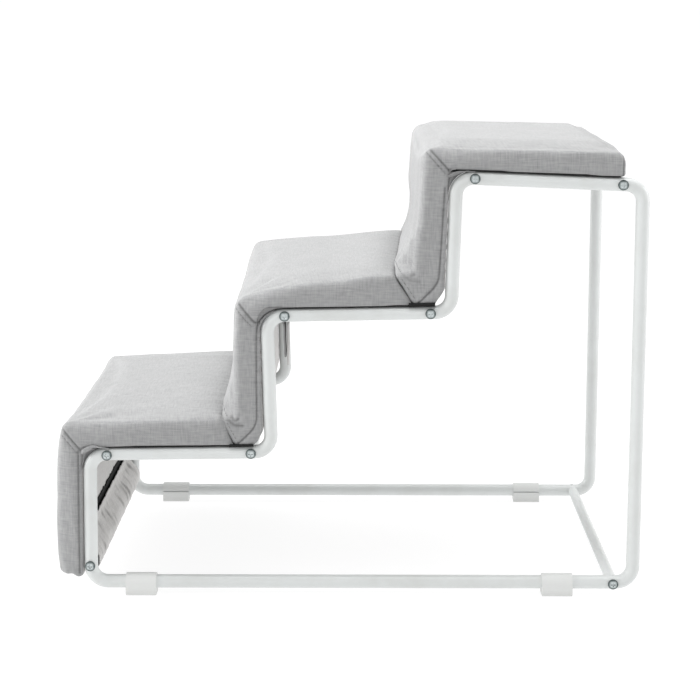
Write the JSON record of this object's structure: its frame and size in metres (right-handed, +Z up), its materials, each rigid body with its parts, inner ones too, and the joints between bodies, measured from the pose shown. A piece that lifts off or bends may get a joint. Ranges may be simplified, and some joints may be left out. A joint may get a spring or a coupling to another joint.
{
  "type": "pet steps",
  "caption": "Free-standing padded pet steps: a zig-zag fabric cushion on a white bent-tube frame with bolted crossbars and clip-on feet.",
  "frame": {"origin": "on the floor, in the middle of the footprint", "axes": "+X climbs towards the high rear step, +Y is the left side as one climbs, +Z is up"},
  "size_m": [0.6902, 0.4064, 0.5379],
  "materials": {
    "white_powder_coat": "satin",
    "zinc_steel": "satin",
    "foot_plastic": "matte",
    "board": "matte",
    "foam": "matte",
    "hook_tape": "matte",
    "lining": "matte",
    "cover_fabric": "matte"
  },
  "bodies": {
    "frame": {"side_frame_right": "white_powder_coat", "side_frame_left": "white_powder_coat", "crossbar_front_bottom": "white_powder_coat", "crossbar_step1_front": "white_powder_coat", "crossbar_step1_rear": "white_powder_coat", "crossbar_step2_front": "white_powder_coat", "crossbar_step2_rear": "white_powder_coat", "crossbar_step3_front": "white_powder_coat", "crossbar_step3_rear": "white_powder_coat", "crossbar_rear_bottom": "white_powder_coat", "threaded_inserts_right": "zinc_steel", "threaded_inserts_left": "zinc_steel", "bolts_right": "zinc_steel", "bolts_left": "zinc_steel", "foot_front_right": "foot_plastic", "foot_front_left": "foot_plastic", "foot_rear_right": "foot_plastic", "foot_rear_left": "foot_plastic", "tread_board_1": "board", "tread_board_2": "board", "tread_board_3": "board", "tread_foam_1": "foam", "tread_foam_2": "foam", "tread_foam_3": "foam", "riser_foam_1": "foam", "riser_foam_2": "foam", "riser_foam_3": "foam", "tread_cover_1": "cover_fabric", "tread_cover_2": "cover_fabric", "tread_cover_3": "cover_fabric", "riser_cover_1": "cover_fabric", "riser_cover_2": "cover_fabric", "riser_cover_3": "cover_fabric", "hook_tape": "hook_tape", "strap_tab_right": "lining", "strap_tab_left": "lining"},
    "front_flap": {"front_flap": "cover_fabric"},
    "strap_right": {"strap_right": "cover_fabric"},
    "strap_left": {"strap_left": "cover_fabric"}
  },
  "joints": [
    {"name": "front_flap_hinge", "type": "hinge", "parent": "frame", "child": "front_flap", "pos_m": [-0.31356, 0, 0.02759], "axis": [0, 1, 0], "range_deg": [0, 100]},
    {"name": "right_strap_hinge", "type": "hinge", "parent": "frame", "child": "strap_right", "pos_m": [-0.06605, -0.16, 0.34435], "axis": [0, -1, 0], "range_deg": [0, 80]},
    {"name": "left_strap_hinge", "type": "hinge", "parent": "frame", "child": "strap_left", "pos_m": [-0.06605, 0.16, 0.34435], "axis": [0, -1, 0], "range_deg": [0, 80]}
  ]
}
